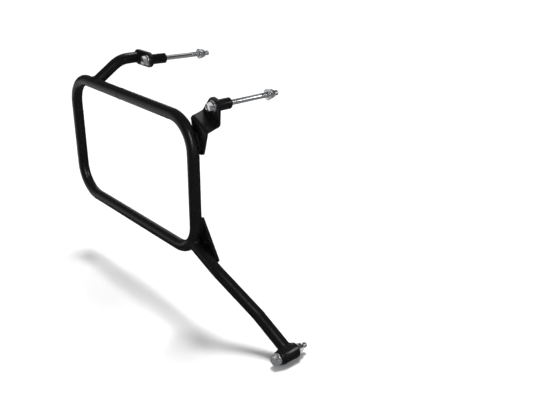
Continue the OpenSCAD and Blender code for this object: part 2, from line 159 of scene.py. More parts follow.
class TubeSizes(bpy.types.PropertyGroup):
    """The tubes' sizes and places, as the frame has them."""
    tube_r: metres("Tube radius", "Outside radius of every tube", 9 * MM)
    bend_r: metres("Bend radius", "Centreline radius of every large bend", 48 * MM)
    loop_x: metres("Loop plane", "Place of the loop's plane across the motorcycle", -61 * MM, -1)
    front_y: metres("Front tube", "Place of the loop's front tube", 6 * MM, -1)
    top_z: metres("Top tube", "Height of the loop's top tube", -16.9 * MM, -1)
    low_z: metres("Bottom tube", "Height of the loop's bottom tube", -222.9 * MM, -1)
    butt_y: metres("Butt weld", "Distance of the butt weld behind the front tube", 190 * MM)
    arm_y: metres("Arm", "Place of the rear arm along the top tube", 281 * MM)
    arm_slope: degrees("Arm slope", "Slope of the arm where it leaves the tube", 33.6)
    arm_rise: metres("Arm rise", "Height of the arm's upper run over the top tube", 32.8 * MM)
    arm_reach: metres("Arm reach", "Distance from the loop's plane to the lug", 83.6 * MM)
    lug_turn: degrees("Lug turn", "Turn of the lug and its bolt towards the front", 8)
    lug_tilt: degrees("Lug tilt", "Rise of the lug towards its bolt", 3)
    lug_span: metres("Lug span", "Distance from the arm to the rear bolt", 41 * MM)
    strut_from: degrees("Strut root", "Place of the strut's root round the bend", 39)
    strut_slope: degrees("Strut slope", "Slope of the strut's first run", 22.1)
    strut_first: metres("First run", "Length of the strut's first run", 66 * MM)
    strut_reach: place_or_run("Second run", "The strut's second run",
                              (17 * MM, -71 * MM, -45.5 * MM))
    strut_last: place_or_run("Third run", "The strut's third run",
                             (7 * MM, -58.5 * MM, -36.5 * MM))
    sleeve_r: metres("Sleeve radius", "Outside radius of the lower sleeve", 11 * MM)
    gusset_up: metres("Gusset height", "Height of the gusset over the strut's root", 40.5 * MM)
    gusset_out: metres("Gusset reach", "Length of the gusset along the strut", 52 * MM)


class WeldSizes(bpy.types.PropertyGroup):
    """How the weld beads look."""
    leg: metres("Leg", "Reach of a bead over each piece that it joins", 2.9 * MM)
    foot_leg: metres("Leg at the sleeve", "Reach of the bead on the strut and the sleeve", 1.7 * MM)
    crown: metres("Crown", "How far a bead bulges between its legs", 0.45 * MM)
    ripple: metres("Ripple", "Height of the ripples along a bead", 0.16 * MM)
    pitch: metres("Ripple pitch", "Distance from ripple to ripple", 1.7 * MM)
    butt_h: metres("Butt height", "Height of the ground weld that closes the loop", 0.4 * MM)
    butt_w: metres("Butt width", "Width of that weld", 3 * MM)


class FastenerSizes(bpy.types.PropertyGroup):
    """The fasteners' sizes."""
    bolt_r: metres("Bolt radius", "Radius over the thread's crests", 4 * MM)
    pitch: metres("Thread pitch", "Distance from thread to thread", 1.25 * MM)
    depth: metres("Thread depth", "Depth of the thread", 0.72 * MM)
    front_l: metres("Front bolt", "Length of the front bolt under the head", 120 * MM)
    rear_l: metres("Rear bolt", "Length of the rear bolt under the head", 115 * MM)
    upper_thread: metres("Upper thread", "Length of thread on the upper bolts", 33 * MM)
    lower_l: metres("Lower bolt", "Length of the lower bolt under the head", 53 * MM)
    lower_thread: metres("Lower thread", "Length of thread on the lower bolt", 22 * MM)
    washer_t: metres("Washer", "Thickness of the washers", 1.6 * MM)
    sides: IntProperty(name="Sides", description="Faces round a threaded shank", default=40,
                       min=12, max=96)


class EdgeSizes(bpy.types.PropertyGroup):
    """How far coating, turning and plating round the edges of the steel pieces."""
    cut: metres("Cut edges", "Round of the bracket's, the gusset's and the lug's edges", 0.45 * MM)
    turned: metres("Turned edges", "Round of the spacers' and the sleeve's edges", 0.3 * MM)
    washer: metres("Washers' edges", "Round of the washers' edges", 0.3 * MM)
    fastener: metres("Bolts' edges", "Round of the bolts' and the nuts' edges", 0.12 * MM)


class FinishColours(bpy.types.PropertyGroup):
    """The colours of the finishes."""
    coat: tint("Powder coat", "Satin black powder coat", (0.0053, 0.0053, 0.0055))
    coat_worn: tint("Lighter coat", "The lighter patches of the coat", (0.0063, 0.0063, 0.0066))
    zinc: tint("Zinc", "Bright zinc plate", (0.72, 0.73, 0.75))
    zinc_dull: tint("Dull zinc", "The duller patches of the plate", (0.6, 0.61, 0.63))
    nylon: tint("Nylon", "The lock nuts' nylon rings", (0.62, 0.66, 0.7))
    floor: tint("Floor", "The studio floor", (0.9, 0.9, 0.9))


class StageSettings(bpy.types.PropertyGroup):
    """The camera, the floor and the point that the lamps face."""
    azimuth: degrees("Azimuth", "The camera's turn about the object", -41.03)
    elevation: degrees("Elevation", "How far the camera looks down", 24.06)
    roll: degrees("Roll", "The camera's roll", 0.498)
    place: place_or_run("Camera", "The camera's place", (-588.14 * MM, -757.09 * MM, 265.73 * MM))
    lens: FloatProperty(name="Lens", description="Focal length on a 36 mm sensor", default=47.13,
                        min=10)
    floor_w: metres("Floor", "Width of the floor", 24, 1, 100)
    middle: place_or_run("Middle", "The point that the lamps face", (-0.04, 0.1, -0.15))


GROUPS = {"tubes": TubeSizes, "welds": WeldSizes, "fasteners": FastenerSizes, "edges": EdgeSizes,
          "colours": FinishColours, "stage": StageSettings}


def settings(group):
    """One group's values, as the sidebar has them."""
    return getattr(bpy.context.scene, "pannier_" + group)


class Wire:
    """A shader socket, which adds Math nodes where it stands in an expression."""

    def __init__(self, paint, socket):
        self.paint = paint
        self.socket = socket

    def math(self, operation, left, right):
        return self.paint.add("ShaderNodeMath", {"operation": operation}, {0: left, 1: right})

    def __add__(self, other):
        return self.math("ADD", self, other)

    def __sub__(self, other):
        return self.math("SUBTRACT", self, other)

    def __rsub__(self, other):
        return self.math("SUBTRACT", other, self)

    def __mul__(self, other):
        return self.math("MULTIPLY", self, other)

    __radd__ = __add__
    __rmul__ = __mul__


class Paint:
    """A procedural material on a Principled shader."""

    # A Mix node's sockets for colours
    FIRST_COLOUR, SECOND_COLOUR, MIXED_COLOUR = 6, 7, 2

    def __init__(self, name):
        self.material = bpy.data.materials.new(name)
        self.material.use_nodes = True
        self.tree = self.material.node_tree
        self.shader = self.tree.nodes["Principled BSDF"]
        self.where = self.add("ShaderNodeTexCoord", {}, {}, "Object")

    def add(self, kind, choices, values, output=0):
        """Adds one node: its settings first, then the values or links of its sockets."""
        node = self.tree.nodes.new(kind)
        for key, value in choices.items():
            setattr(node, key, value)
        self.feed(node, values)
        return Wire(self, node.outputs[output])

    def feed(self, node, values):
        """Gives a node's sockets their values or links."""
        for key, value in values.items():
            if isinstance(value, Wire):
                self.tree.links.new(value.socket, node.inputs[key])
            else:
                node.inputs[key].default_value = value

    def noise(self, grains, detail=2.0, roughness=0.5, stretch=(1, 1, 1)):
        """Noise with about so many grains to the metre."""
        at = self.add("ShaderNodeMapping", {}, {"Vector": self.where, "Scale": stretch})
        return self.add("ShaderNodeTexNoise", {}, {
            "Vector": at, "Scale": grains, "Detail": detail, "Roughness": roughness})

    def blend(self, share, first, second):
        """A mix of two plain colours."""
        colours = {self.FIRST_COLOUR: (*first, 1), self.SECOND_COLOUR: (*second, 1)}
        return self.add("ShaderNodeMix", {"data_type": "RGBA"}, {"Factor": share, **colours},
                        self.MIXED_COLOUR)

    def ramp(self, value, low, high, to_low=0.0, to_high=1.0):
        """Stretches the range from low to high over another range."""
        return self.add("ShaderNodeMapRange", {"clamp": True}, {
            "Value": value, "From Min": low, "From Max": high, "To Min": to_low, "To Max": to_high})

    def bump(self, pattern, height):
        """Raises a pattern by so many metres at its full value."""
        return self.add("ShaderNodeBump", {}, {
            "Height": pattern, "Distance": height, "Strength": 1.0})

    def finish(self, values):
        """Feeds the shader itself."""
        self.feed(self.shader, values)
        return self.material


PAINTS = {}     # the finish of each material slot


def powder_coat():
    """Satin black powder coat with its fine orange peel."""
    colours = settings("colours")
    paint = Paint("satin_powder_coat")
    swell = paint.noise(grains=60)
    peel = paint.noise(grains=750, detail=1.5, roughness=0.45)
    grain = paint.noise(grains=4200, detail=1)
    gloss = paint.ramp(swell, low=0.35, high=0.65, to_low=0.26, to_high=0.29)
    return paint.finish({
        "Base Color": paint.blend(swell, colours.coat, colours.coat_worn),
        "Roughness": gloss + (grain - 0.5) * 0.03,
        "Normal": paint.bump(peel + grain * 0.1, height=0.009 * MM),
    })


def weld_coat():
    """The same coat, a little rougher, as it lies over the welds."""
    colours = settings("colours")
    paint = Paint("coat_over_welds")
    swell = paint.noise(grains=160)
    peel = paint.noise(grains=1100)
    return paint.finish({
        "Base Color": paint.blend(swell, colours.coat, colours.coat_worn),
        "Roughness": paint.ramp(peel, low=0.3, high=0.7, to_low=0.27, to_high=0.38),
        "Normal": paint.bump(peel, height=0.06 * MM),
    })


def spacer_coat():
    """A thinner black coat over the lathe's faint rings."""
    colours = settings("colours")
    paint = Paint("coated_turned_steel")
    rings = paint.noise(grains=2400, detail=1, stretch=(1, 0.05, 0.05))
    peel = paint.noise(grains=900, detail=1)
    return paint.finish({
        "Base Color": paint.blend(peel, colours.coat, colours.coat_worn),
        "Roughness": paint.ramp(peel, low=0.3, high=0.7, to_low=0.17, to_high=0.22),
        "Normal": paint.bump(rings * 0.5 + peel * 0.5, height=0.03 * MM),
    })


def zinc_plate(name, grains, bright, dull):
    """Bright zinc plate, duller in patches, over the grain of the steel. bright and dull are the
    roughness of the one and of the other."""
    colours = settings("colours")
    paint = Paint(name)
    patches = paint.ramp(paint.noise(grains=260, detail=3, roughness=0.6), low=0.4, high=0.7)
    grain = paint.noise(grains, roughness=0.6)
    gloss = paint.ramp(patches, low=0, high=1, to_low=bright, to_high=dull)
    return paint.finish({
        "Base Color": paint.blend(patches, colours.zinc, colours.zinc_dull),
        "Metallic": 1.0,
        "Roughness": gloss + (grain - 0.5) * 0.06,
        "Normal": paint.bump(grain, height=0.005 * MM),
    })


def nylon():
    """Plain pale nylon, a little cloudy."""
    pale = settings("colours").nylon
    darker = [0.85 * part for part in pale]
    paint = Paint("pale_nylon")
    cloud = paint.noise(grains=500)
    return paint.finish({
        "Base Color": paint.blend(cloud, pale, darker),
        "Roughness": paint.ramp(cloud, low=0.3, high=0.7, to_low=0.4, to_high=0.5),
        "Subsurface Weight": 0.15,
        "Subsurface Radius": (0.6 * MM, 0.6 * MM, 0.6 * MM),
        "Normal": paint.bump(cloud, height=0.02 * MM),
    })


def floor_paint():
    """A plain white floor."""
    white = (*settings("colours").floor, 1)
    return Paint("white_floor").finish({
        "Base Color": white, "Roughness": 0.85, "Specular IOR Level": 0.2})


def mix_paints():
    """Makes the finish of every slot in the record."""
    PAINTS.update({
        "powder_coat": powder_coat(),
        "coated_weld": weld_coat(),
        "spacer_coat": spacer_coat(),
        "zinc_bolt": zinc_plate("zinc_on_rolled_steel", grains=1800, bright=0.2, dull=0.27),
        "zinc_washer": zinc_plate("zinc_on_stamped_steel", grains=1300, bright=0.22, dull=0.38),
        "zinc_nut": zinc_plate("zinc_on_formed_steel", grains=1500, bright=0.18, dull=0.34),
        "nylon": nylon(),
    })


def slot_of(node):
    """The material slot that the record gives to a node."""
    for part in frame["record"]["subparts"]:
        if part["node"] == node:
            return part["material_slot"]
    raise RuntimeError("the record has no slot for " + node)


def coat_node(node):
    """Gives a CAD node, as it is, the finish of its slot."""
    obj = frame["nodes"][node]
    obj.data.materials.clear()
    obj.data.materials.append(PAINTS[slot_of(node)])


def deselect():
    bpy.ops.object.select_all(action="DESELECT")


def only(obj):
    """Makes one object the only one selected, and the active one."""
    deselect()
    obj.select_set(True)
    bpy.context.view_layer.objects.active = obj


def edit(obj):
    """Opens one object in edit mode with all of it selected."""
    only(obj)
    bpy.ops.object.mode_set(mode="EDIT")
    bpy.ops.mesh.select_mode(type="VERT")
    bpy.ops.mesh.select_all(action="SELECT")


def close_edit():
    bpy.ops.object.mode_set(mode="OBJECT")


def tidy_shell(obj, merge=FINE_MERGE):
    """Merges doubled points, drops what has collapsed and turns all faces outwards."""
    edit(obj)
    bpy.ops.mesh.remove_doubles(threshold=merge)
    bpy.ops.mesh.dissolve_degenerate(threshold=merge)
    bpy.ops.mesh.delete_loose(use_verts=True, use_edges=True, use_faces=False)
    bpy.ops.mesh.select_all(action="SELECT")
    bpy.ops.mesh.normals_make_consistent(inside=False)
    close_edit()


def apply_modifier(obj, kind, choices):
    """Adds a modifier with its settings and applies it."""
    only(obj)
    modifier = obj.modifiers.new(kind.lower(), kind)
    for key, value in choices.items():
        setattr(modifier, key, value)
    bpy.ops.object.modifier_apply(modifier=modifier.name)


def smooth(obj, angle=SHADED_FROM):
    """Shades an object smooth, apart from its sharper edges."""
    only(obj)
    bpy.ops.object.shade_smooth_by_angle(angle=math.radians(angle))


def settle(obj, matrix):
    """Puts a piece where it belongs and applies that place to its mesh."""
    only(obj)
    obj.matrix_world = matrix
    bpy.ops.object.transform_apply(location=True, rotation=True, scale=True)


def join(pieces):
    """Joins pieces into the first of them."""
    deselect()
    for piece in pieces:
        piece.select_set(True)
    bpy.context.view_layer.objects.active = pieces[0]
    if len(pieces) > 1:
        bpy.ops.object.join()
    return bpy.context.object


def hand_over(obj, node, finish):
    """Finishes a piece that stands for a CAD node, and names it after the node and its finish."""
    name = node + "_" + finish
    obj.name = name
    obj.data.name = name
    obj.data.materials.clear()
    obj.data.materials.append(PAINTS[slot_of(node)])
    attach(obj, BODY)
    slot_of(node)
    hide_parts(node)


def turned(name, profile, sides):
    """Spins an outline of (radius, height) points about Z."""
    deselect()
    bpy.ops.mesh.primitive_circle_add(vertices=len(profile), radius=1)
    obj = bpy.context.object
    obj.name = name
    for vertex, (radius, height) in zip(obj.data.vertices, profile):
        vertex.co = (radius, 0, height)
    edit(obj)
    bpy.ops.mesh.spin(steps=sides, angle=2 * math.pi, center=(0, 0, 0), axis=(0, 0, 1))
    close_edit()
    tidy_shell(obj)
    return obj


def wrapped(name, along, around, place, closed):
    """Rolls a grid, so many faces along and around, up into a long shell. place(u, v) gives its
    points, u round its section and v along it, each from 0 to 1."""
    deselect()
    bpy.ops.mesh.primitive_grid_add(x_subdivisions=around, y_subdivisions=along, size=1)
    obj = bpy.context.object
    obj.name = name
    row = around + 1
    for index, vertex in enumerate(obj.data.vertices):
        v, u = divmod(index, row)
        vertex.co = place((u % around) / around, (v % along if closed else v) / along)
    tidy_shell(obj, MERGE)
    return obj


def softened(node, width, segments=2, angle=ROUNDED_FROM):
    """Copies a CAD node, merges it and rounds its sharp edges."""
    source = frame["nodes"][node]
    obj = bpy.data.objects.new(node + "_copy", source.data.copy())
    bpy.context.scene.collection.objects.link(obj)
    edit(obj)
    bpy.ops.mesh.remove_doubles(threshold=MERGE)
    bpy.ops.mesh.dissolve_limited(angle_limit=math.radians(NEARLY_FLAT))
    close_edit()
    apply_modifier(obj, "BEVEL", {
        "width": width, "segments": segments, "limit_method": "ANGLE",
        "angle_limit": math.radians(angle), "use_clamp_overlap": True,
        "harden_normals": False, "miter_outer": "MITER_ARC"})
    smooth(obj)
    return obj


def forward_and_down(angle):
    """The way towards the front at an angle under the level."""
    return Vector((0, -math.cos(angle), -math.sin(angle)))


class Places:
    """Where the tubes run, from the driving sizes."""

    def __init__(self):
        sizes = settings("tubes")
        x, front = sizes.loop_x, sizes.front_y
        self.tube_r = sizes.tube_r
        self.butt = Vector((x, front + sizes.butt_y, sizes.top_z))
        self.upper = Vector((x, front + sizes.bend_r, sizes.top_z - sizes.bend_r))
        self.corner = Vector((x, front + sizes.bend_r, sizes.low_z + sizes.bend_r))
        self.arm_root = Vector((x, sizes.arm_y, sizes.top_z))
        self.arm_way = Vector((math.cos(sizes.arm_slope), 0, math.sin(sizes.arm_slope)))
        self.arm_end = Vector((x + sizes.arm_reach, sizes.arm_y, sizes.top_z + sizes.arm_rise))
        turn = Matrix.Rotation(-sizes.lug_turn, 4, "Z") @ Matrix.Rotation(-sizes.lug_tilt, 4, "X")
        self.lug = Matrix.Translation(self.arm_end) @ turn
        self.strut_root = self.corner + sizes.bend_r * forward_and_down(sizes.strut_from)
        self.strut_way = forward_and_down(sizes.strut_slope)
        last_run = Vector(sizes.strut_last)
        first_bend = self.strut_root + sizes.strut_first * self.strut_way
        self.foot = first_bend + Vector(sizes.strut_reach) + last_run
        self.foot_way = -last_run.normalized()


def ripple(share, length, across):
    """The height of a bead's ripples, as curved as the edges of the pools that it froze from."""
    sizes = settings("welds")
    count = max(3, round(length / sizes.pitch))
    ahead = RIPPLE_BOW * (1 - (2 * across - 1) ** 2)
    phase = 2 * math.pi * (count * share + ahead)
    wave = (1 - OVERTONE) * math.cos(phase) + OVERTONE * math.cos(2 * phase + OVERTONE_LAG)
    return sizes.ripple * wave


def tapered(v, bluntness):
    """The share of its full section that a bead has at v, falling to nothing at both ends."""
    return math.sqrt(max(0.0, 1 - abs(2 * v - 1) ** bluntness))


def bead_section(u, v, length, toe_a, toe_b, root, out, end):
    """A point of a bead. u runs over the rippled face from toe to toe, then back by the root."""
    sizes = settings("welds")
    if u <= BEAD_FACE:
        across = u / BEAD_FACE
        fullness = math.sin(math.pi * across) ** CROWN_FULLNESS
        crown = (sizes.crown + ripple(v, length, across)) * fullness
        return root + (toe_a.lerp(toe_b, across) + out * crown - root) * end
    back = (u - BEAD_FACE) / (1 - BEAD_FACE)
    base = toe_b.lerp(root, 2 * back) if back < 0.5 else root.lerp(toe_a, 2 * back - 1)
    return root + (base - root) * end


def bead_grid(name, length, place, closed):
    """Rolls up a bead with so many faces to each ripple."""
    along = round(length / settings("welds").pitch) * BEAD_FACES_PER_RIPPLE
    return wrapped(name, along, BEAD_FACES_ROUND, place, closed)


def seam_bead(name, start, way, depth, leg, span=FULL_TURN):
    """A bead round a tube where it comes out of a surface. depth(point) is the distance from that
    surface, below zero inside it. The tube's axis runs from start, inside, along way. A span of
    less than the full turn is counted from the inboard side."""
    tiny = 0.01 * MM    # step for the surface's slope
    halvings = 40       # of the range in which the seam is looked for
    cope = 1.08         # the seam's length, set against a square cut's
    radius = settings("tubes").tube_r
    begin, end = span
    closed = span == FULL_TURN
    side = way.orthogonal() if closed else INBOARD
    side = (side - side.dot(way) * way).normalized()
    other = way.cross(side)
    length = radius * (end - begin) * cope

    def normal(point):
        slope = [depth(point + tiny * axis) - depth(point - tiny * axis)
                 for axis in (INBOARD, REARWARD, UP)]
        return Vector(slope).normalized()

    def meet(angle):
        radial = side * math.cos(angle) + other * math.sin(angle)
        low, high = 0.0, 4 * radius
        for _ in range(halvings):
            middle = (low + high) / 2
            if depth(start + radius * radial + middle * way) < 0:
                low = middle
            else:
                high = middle
        return start + radius * radial + low * way, radial

    def place(u, v):
        point, radial = meet(begin + (end - begin) * v)
        base = normal(point)
        toe_a = point + leg * way
        run = (radial - radial.dot(base) * base).normalized()
        toe_b = point + leg * run
        toe_b -= depth(toe_b) * normal(toe_b)
        out = (radial + base).normalized()
        share = 1.0 if closed else tapered(v, SEAM_TAPER)
        return bead_section(u, v, length, toe_a, toe_b, point - ROOT_DEPTH * out, out, share)

    return bead_grid(name, length, place, closed)


def crevice_bead(name, path, length):
    """A bead between a tube and the flat plate on its inboard face. path(v) gives the tube's centre
    and the way out from it to the bead."""
    leg = settings("welds").leg
    radius = settings("tubes").tube_r
    reach = CREVICE_REACH * leg

    def height(offset):
        """How high the tube's face is, so far from its middle."""
        return math.sqrt(radius ** 2 - offset ** 2)

    def place(u, v):
        centre, out = path(v)
        toes = centre + reach * out
        root = centre + leg * out + (radius + height(leg)) / 2 * INBOARD
        return bead_section(u, v, length, toes + radius * INBOARD, toes + height(reach) * INBOARD,
                            root, out, tapered(v, CREVICE_TAPER))

    return bead_grid(name, length, place, False)


def bend_bead(name, centre, side, begin, turn):
    """A crevice bead on one of the loop's front bends. It begins at an angle under the level and
    goes round by a turn, both in degrees."""
    bend_r = settings("tubes").bend_r

    def path(v):
        across = forward_and_down(math.radians(begin) + math.radians(turn) * v)
        return centre + bend_r * across, side * across

    return crevice_bead(name, path, bend_r * abs(math.radians(turn)))


def straight_bead(name, begin, way, out, length):
    """A crevice bead along a straight tube."""
    return crevice_bead(name, lambda v: (begin + v * length * way, out), length)


def thread(obj, begin, end):
    """Cuts a right-hand thread into a turned shank, with a run-out where it begins."""
    sizes = settings("fasteners")
    core_r = sizes.bolt_r - THREADED_SKIN
    for vertex in obj.data.vertices:
        x, y, z = vertex.co
        radius = math.hypot(x, y)
        if z < begin or z > end or radius < core_r:
            continue
        turn = (z / sizes.pitch - math.atan2(y, x) / (2 * math.pi)) % 1.0
        wave = abs(2 * turn - 1)
        groove = min(1.0, max(0.0, FLANK_SLOPE * wave - CREST_FLAT))
        share = min(1.0, (z - begin) / (RUN_OUT * sizes.pitch))
        depth = sizes.depth * groove * share
        vertex.co = (x * (radius - depth) / radius, y * (radius - depth) / radius, z)


def threaded_end(name, length, thread_l):
    """The threaded length of a bolt, with its chamfered point."""
    sizes = settings("fasteners")
    begin = length - thread_l
    full = thread_l - POINT_CHAMFER
    rows = round(full / sizes.pitch * ROWS_PER_PITCH)
    hidden_r = sizes.bolt_r - 0.02 * MM     # inside the plain shank, where the two overlap
    profile = [(0, begin - THREAD_LAP), (hidden_r, begin - THREAD_LAP)]
    profile += [(sizes.bolt_r, begin + full * row / rows) for row in range(rows + 1)]
    profile += [(sizes.bolt_r - POINT_CHAMFER, length), (0, length)]
    obj = turned(name, profile, sizes.sides)
    thread(obj, begin, length - CHAMFER_PLAIN * POINT_CHAMFER)
    smooth(obj, THREAD_SHADED_FROM)
    return obj


def bolt_place(seat, turn=0.0):
    """The frame of a bolt: its Z along the shank, the origin under the head."""
    way = Matrix.Rotation(turn, 4, "Z") @ Matrix.Rotation(math.pi / 2, 4, "Y")
    return Matrix.Translation(seat) @ way


def cut_off(obj, at, way):
    """Removes what lies beyond a plane and closes the cut."""
    edit(obj)
    bpy.ops.mesh.bisect(plane_co=at, plane_no=way, use_fill=True, clear_outer=True)
    close_edit()


def make_bolt(node, place, length, thread_l):
    """Joins a bolt's own head and plain shank with a threaded end."""
    blank = softened(node, settings("edges").fastener, angle=FASTENER_ROUNDED_FROM)
    way = (place.to_3x3() @ UP).normalized()
    cut_off(blank, place.translation + (length - thread_l - THREAD_LAP / 2) * way, way)
    smooth(blank)
    point = threaded_end(node + "_thread", length, thread_l)
    settle(point, place)
    hand_over(join([blank, point]), node, "plated")


class PANNIER_OT_tubes(bpy.types.Operator):
    """Coat the loop, the arm and the strut"""
    bl_idname = "pannier.tubes"
    bl_label = "Tubes"

    def execute(self, context):
        for node in ("main_loop", "rear_arm", "lower_strut"):
            coat_node(node)
        return {"FINISHED"}


class PANNIER_OT_sheet_steel(bpy.types.Operator):
    """Round the cut edges of the bracket, the gusset and the lug, and coat them"""
    bl_idname = "pannier.sheet_steel"
    bl_label = "Bracket, gusset and lug"

    def execute(self, context):
        edge = settings("edges").cut
        for node in ("front_bracket", "gusset", "rear_lug"):
            hand_over(softened(node, edge, segments=3), node, "coated")
        return {"FINISHED"}


class PANNIER_OT_turned_steel(bpy.types.Operator):
    """Round the edges of the spacers and the lower sleeve, and coat them"""
    bl_idname = "pannier.turned_steel"
    bl_label = "Spacers and sleeve"

    def execute(self, context):
        edge = settings("edges").turned
        for node in ("front_spacer", "rear_spacer", "lower_sleeve"):
            hand_over(softened(node, edge), node, "coated")
        return {"FINISHED"}


class PANNIER_OT_welds(bpy.types.Operator):
    """Lay the weld beads, with their ripples"""
    bl_idname = "pannier.welds"
    bl_label = "Weld beads"

    def execute(self, context):
        tubes = settings("tubes")
        welds = settings("welds")
        at = Places()
        lug_outboard = at.lug.to_3x3() @ -INBOARD
        in_lug = 4 * MM                     # how far inside the lug its seam is looked for
        under_gusset = math.radians(34)     # half the turn that the gusset covers
        upper_gap = 2 * MM                  # from a bead's end to the gusset's upper end
        strut_gap = 3 * MM                  # from a bead's end to the gusset's end on the strut

        def loop_tube(point):
            return math.hypot(point.x - tubes.loop_x, point.z - tubes.top_z) - at.tube_r

        def loop_corner(point):
            out = math.hypot(point.y - at.corner.y, point.z - at.corner.z) - tubes.bend_r
            return math.hypot(out, point.x - tubes.loop_x) - at.tube_r

        def sleeve(point):
            return math.hypot(point.y - at.foot.y, point.z - at.foot.z) - tubes.sleeve_r

        def lug(point):
            return (point - at.arm_end).dot(lug_outboard)

        upright_foot = at.corner - tubes.bend_r * REARWARD
        upright_l = at.strut_root.z + tubes.gusset_up - upper_gap - at.corner.z
        strut_l = tubes.gusset_out / 2
        strut_from = at.strut_root + (strut_l - strut_gap) * at.strut_way
        strut_out = Vector((0, at.strut_way.z, -at.strut_way.y))
        beads = {
            "arm_weld": [seam_bead("arm_bead", at.arm_root, at.arm_way, loop_tube, welds.leg)],
            "lug_weld": [
                seam_bead("lug_bead", at.arm_end + in_lug * INBOARD, -INBOARD, lug, welds.leg)],
            "strut_weld": [
                seam_bead("strut_bead", at.strut_root, at.strut_way, loop_corner, welds.leg,
                          (under_gusset, 2 * math.pi - under_gusset))],
            "sleeve_weld": [seam_bead("sleeve_bead", at.foot, at.foot_way, sleeve, welds.foot_leg)],
            "bracket_welds": [bend_bead("outer_bead", at.upper, OUTSIDE, begin=-2, turn=-34),
                              bend_bead("inner_bead", at.upper, INSIDE, begin=-2, turn=-22)],
            "gusset_welds": [
                bend_bead("corner_bead", at.corner, OUTSIDE, begin=0, turn=20),
                straight_bead("upright_bead", upright_foot, UP, -REARWARD, upright_l),
                straight_bead("strut_side_bead", strut_from, at.strut_way, strut_out, strut_l)],
        }
        for node, pieces in beads.items():
            bead = join(pieces)
            smooth(bead, BEAD_SHADED_FROM)
            hand_over(bead, node, "rippled")
        return {"FINISHED"}


class PANNIER_OT_butt_weld(bpy.types.Operator):
    """Turn the ground weld that closes the loop"""
    bl_idname = "pannier.butt_weld"
    bl_label = "Butt weld"

    def execute(self, context):
        sizes = settings("welds")
        at = Places()
        half = sizes.butt_w / 2
        hidden_r = at.tube_r - 0.4 * MM     # in the tube's wall
        edge_r = at.tube_r - 0.02 * MM      # the ring's edges end just under the tube's face
        rows, sides = 12, 72
        waver = 0.12                        # share by which the ring's width changes round the tube
        profile = [(hidden_r, -half)]
        for row in range(rows + 1):
            share = 2 * row / rows - 1
            profile.append((edge_r + sizes.butt_h * (1 - share ** 4), half * share))
        profile.append((hidden_r, half))
        ring = turned("butt_ring", profile, sides)
        for vertex in ring.data.vertices:
            angle = math.atan2(vertex.co.y, vertex.co.x)
            vertex.co.z *= 1 + waver * math.sin(5 * angle) * math.cos(3 * angle + 1)
        settle(ring, Matrix.Translation(at.butt) @ Matrix.Rotation(math.pi / 2, 4, "X"))
        smooth(ring, BEAD_SHADED_FROM)
        hand_over(ring, "loop_butt_weld", "ground")
        return {"FINISHED"}


class PANNIER_OT_bolts(bpy.types.Operator):
    """Thread and plate the three bolts"""
    bl_idname = "pannier.bolts"
    bl_label = "Bolts"

    def execute(self, context):
        sizes = settings("fasteners")
        tubes = settings("tubes")
        at = Places()

        def seat(washer, y, z):
            """Where a bolt's axis meets the outboard face of the washer under its head."""
            return Vector((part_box(washer)[0][0], y, z))

        front = bolt_place(seat("front_head_washer", 0, 0))
        rear = bolt_place(at.lug @ Vector((-sizes.washer_t, -tubes.lug_span, 0)), -tubes.lug_turn)
        lower = bolt_place(seat("lower_head_washer", at.foot.y, at.foot.z))
        make_bolt("front_bolt", front, sizes.front_l, sizes.upper_thread)
        make_bolt("rear_bolt", rear, sizes.rear_l, sizes.upper_thread)
        make_bolt("lower_bolt", lower, sizes.lower_l, sizes.lower_thread)
        return {"FINISHED"}


class PANNIER_OT_washers(bpy.types.Operator):
    """Round and plate the six washers"""
    bl_idname = "pannier.washers"
    bl_label = "Washers"

    def execute(self, context):
        edge = settings("edges").washer
        for place in ("front", "rear", "lower"):
            for kind in ("head", "nut"):
                node = "%s_%s_washer" % (place, kind)
                hand_over(softened(node, edge), node, "plated")
        return {"FINISHED"}


class PANNIER_OT_lock_nuts(bpy.types.Operator):
    """Round and plate the three lock nuts, and colour their nylon rings"""
    bl_idname = "pannier.lock_nuts"
    bl_label = "Lock nuts"

    def execute(self, context):
        edge = settings("edges").fastener
        for place in ("front", "rear", "lower"):
            node = place + "_lock_nut"
            hand_over(softened(node, edge, angle=FASTENER_ROUNDED_FROM), node, "plated")
        hand_over(softened("nylon_rings", edge), "nylon_rings", "soft")
        return {"FINISHED"}


# The lamps. Ways point from the object to the lamp; distances and sizes are in metres.
DAYLIGHT = {
    "key_light": {"way": (0.36, 0.36, 1), "spread": 21, "strength": 3.9},
    "fill_light": {"way": (-0.35, 0.45, 1), "spread": 70, "strength": 0.45},
}
SOFTBOXES = {
    "front_strip": {
        "radiance": 15, "size": (0.13, 0.9), "way": (-0.36, -0.77, 0.5), "distance": 1.5},
    "front_fill": {
        "radiance": 0.16, "size": (4.5, 1.0), "way": (-0.2, -0.98, 0.05), "distance": 2.5},
    "back_softbox": {
        "radiance": 0.7, "size": (0.9, 0.6), "way": (0.6, 0.69, 0.25), "distance": 1.6},
    "left_panel": {
        "radiance": 0.38, "size": (1.5, 0.8), "way": (-0.7, 0.7, 0.15), "distance": 2},
    "floor_glow": {
        "radiance": 0.5, "size": (1.6, 2.0), "place": (-0.75, 1.5, FLOOR_Z + 1 * MM)},
}

